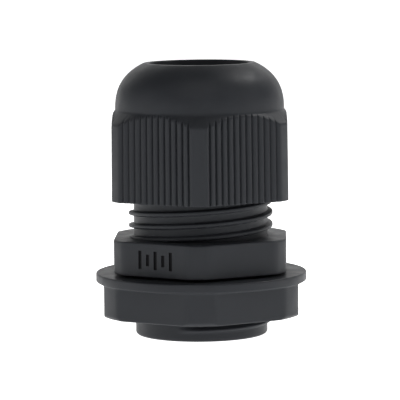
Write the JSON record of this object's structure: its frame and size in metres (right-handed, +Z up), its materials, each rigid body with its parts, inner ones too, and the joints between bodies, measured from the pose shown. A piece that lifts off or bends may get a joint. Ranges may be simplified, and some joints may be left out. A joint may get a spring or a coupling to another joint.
{
  "type": "cable gland",
  "caption": "Black plastic cable gland: ribbed dome nut over clamping claws and a rubber seal, a hexagon body threaded at both ends, an entry gasket and a flanged locknut.",
  "frame": {"origin": "centre of the lower end of the entry thread, which is the bottom of the part", "axes": "+Z up along the gland's axis, from the entry thread to the dome nut; a corner of each hexagon points to -Y"},
  "size_m": [0.037, 0.037, 0.0476],
  "materials": {
    "black_nylon": "satin moulded nylon, charcoal black",
    "grey_acetal": "smooth moulded plastic, dark grey",
    "black_rubber": "matt black rubber"
  },
  "bodies": {
    "body": {"gland_body": "black_nylon", "clamping_cage": "grey_acetal", "sealing_insert": "black_rubber"},
    "thrust_ring_body": {"thrust_ring": "grey_acetal"},
    "dome_nut_body": {"dome_nut": "black_nylon"},
    "gasket_body": {"entry_gasket": "black_rubber"},
    "locknut_body": {"locknut": "black_nylon"},
    "claw_01_body": {"claw_01": "grey_acetal"},
    "claw_02_body": {"claw_02": "grey_acetal"},
    "claw_03_body": {"claw_03": "grey_acetal"},
    "claw_04_body": {"claw_04": "grey_acetal"},
    "claw_05_body": {"claw_05": "grey_acetal"},
    "claw_06_body": {"claw_06": "grey_acetal"},
    "claw_07_body": {"claw_07": "grey_acetal"},
    "claw_08_body": {"claw_08": "grey_acetal"},
    "claw_09_body": {"claw_09": "grey_acetal"},
    "claw_10_body": {"claw_10": "grey_acetal"},
    "claw_11_body": {"claw_11": "grey_acetal"},
    "claw_12_body": {"claw_12": "grey_acetal"},
    "claw_13_body": {"claw_13": "grey_acetal"},
    "claw_14_body": {"claw_14": "grey_acetal"}
  },
  "joints": [
    {"name": "dome_nut_travel", "type": "slide", "parent": "body", "child": "thrust_ring_body", "axis": [0, 0, 1], "range_m": [-0.0063, 0.0054]},
    {"name": "dome_nut_turn", "type": "hinge", "parent": "thrust_ring_body", "child": "dome_nut_body", "pos_m": [0, 0, 0.0355], "axis": [0, 0, 1], "range_deg": [-526, 451]},
    {"name": "locknut_travel", "type": "slide", "parent": "body", "child": "gasket_body", "axis": [0, 0, -1], "range_m": [0, 0.009]},
    {"name": "locknut_turn", "type": "hinge", "parent": "gasket_body", "child": "locknut_body", "pos_m": [0, 0, 0.0074], "axis": [0, 0, -1], "range_deg": [-1, 2161]},
    {"name": "claw_01_bend", "type": "hinge", "parent": "body", "child": "claw_01_body", "pos_m": [0.0108, 0, 0.03025], "axis": [0, -1, 0], "range_deg": [-7.1, 8.3]},
    {"name": "claw_02_bend", "type": "hinge", "parent": "body", "child": "claw_02_body", "pos_m": [0.00973, 0.00469, 0.03025], "axis": [0.4339, -0.901, 0], "range_deg": [-7.1, 8.3]},
    {"name": "claw_03_bend", "type": "hinge", "parent": "body", "child": "claw_03_body", "pos_m": [0.00673, 0.00844, 0.03025], "axis": [0.7818, -0.6235, 0], "range_deg": [-7.1, 8.3]},
    {"name": "claw_04_bend", "type": "hinge", "parent": "body", "child": "claw_04_body", "pos_m": [0.0024, 0.01053, 0.03025], "axis": [0.9749, -0.2225, 0], "range_deg": [-7.1, 8.3]},
    {"name": "claw_05_bend", "type": "hinge", "parent": "body", "child": "claw_05_body", "pos_m": [-0.0024, 0.01053, 0.03025], "axis": [0.9749, 0.2225, 0], "range_deg": [-7.1, 8.3]},
    {"name": "claw_06_bend", "type": "hinge", "parent": "body", "child": "claw_06_body", "pos_m": [-0.00673, 0.00844, 0.03025], "axis": [0.7818, 0.6235, 0], "range_deg": [-7.1, 8.3]},
    {"name": "claw_07_bend", "type": "hinge", "parent": "body", "child": "claw_07_body", "pos_m": [-0.00973, 0.00469, 0.03025], "axis": [0.4339, 0.901, 0], "range_deg": [-7.1, 8.3]},
    {"name": "claw_08_bend", "type": "hinge", "parent": "body", "child": "claw_08_body", "pos_m": [-0.0108, 0, 0.03025], "axis": [0, 1, 0], "range_deg": [-7.1, 8.3]},
    {"name": "claw_09_bend", "type": "hinge", "parent": "body", "child": "claw_09_body", "pos_m": [-0.00973, -0.00469, 0.03025], "axis": [-0.4339, 0.901, 0], "range_deg": [-7.1, 8.3]},
    {"name": "claw_10_bend", "type": "hinge", "parent": "body", "child": "claw_10_body", "pos_m": [-0.00673, -0.00844, 0.03025], "axis": [-0.7818, 0.6235, 0], "range_deg": [-7.1, 8.3]},
    {"name": "claw_11_bend", "type": "hinge", "parent": "body", "child": "claw_11_body", "pos_m": [-0.0024, -0.01053, 0.03025], "axis": [-0.9749, 0.2225, 0], "range_deg": [-7.1, 8.3]},
    {"name": "claw_12_bend", "type": "hinge", "parent": "body", "child": "claw_12_body", "pos_m": [0.0024, -0.01053, 0.03025], "axis": [-0.9749, -0.2225, 0], "range_deg": [-7.1, 8.3]},
    {"name": "claw_13_bend", "type": "hinge", "parent": "body", "child": "claw_13_body", "pos_m": [0.00673, -0.00844, 0.03025], "axis": [-0.7818, -0.6235, 0], "range_deg": [-7.1, 8.3]},
    {"name": "claw_14_bend", "type": "hinge", "parent": "body", "child": "claw_14_body", "pos_m": [0.00973, -0.00469, 0.03025], "axis": [-0.4339, -0.901, 0], "range_deg": [-7.1, 8.3]}
  ],
  "couplings": [
    {"joint": "dome_nut_turn", "follows": "dome_nut_travel", "rad_per_m": 1454.4},
    {"joint": "locknut_turn", "follows": "locknut_travel", "rad_per_m": 4188.8},
    {"joint": "claw_01_bend", "follows": "dome_nut_travel", "rad_per_m": -22.625},
    {"joint": "claw_02_bend", "follows": "dome_nut_travel", "rad_per_m": -22.625},
    {"joint": "claw_03_bend", "follows": "dome_nut_travel", "rad_per_m": -22.625},
    {"joint": "claw_04_bend", "follows": "dome_nut_travel", "rad_per_m": -22.625},
    {"joint": "claw_05_bend", "follows": "dome_nut_travel", "rad_per_m": -22.625},
    {"joint": "claw_06_bend", "follows": "dome_nut_travel", "rad_per_m": -22.625},
    {"joint": "claw_07_bend", "follows": "dome_nut_travel", "rad_per_m": -22.625},
    {"joint": "claw_08_bend", "follows": "dome_nut_travel", "rad_per_m": -22.625},
    {"joint": "claw_09_bend", "follows": "dome_nut_travel", "rad_per_m": -22.625},
    {"joint": "claw_10_bend", "follows": "dome_nut_travel", "rad_per_m": -22.625},
    {"joint": "claw_11_bend", "follows": "dome_nut_travel", "rad_per_m": -22.625},
    {"joint": "claw_12_bend", "follows": "dome_nut_travel", "rad_per_m": -22.625},
    {"joint": "claw_13_bend", "follows": "dome_nut_travel", "rad_per_m": -22.625},
    {"joint": "claw_14_bend", "follows": "dome_nut_travel", "rad_per_m": -22.625}
  ]
}
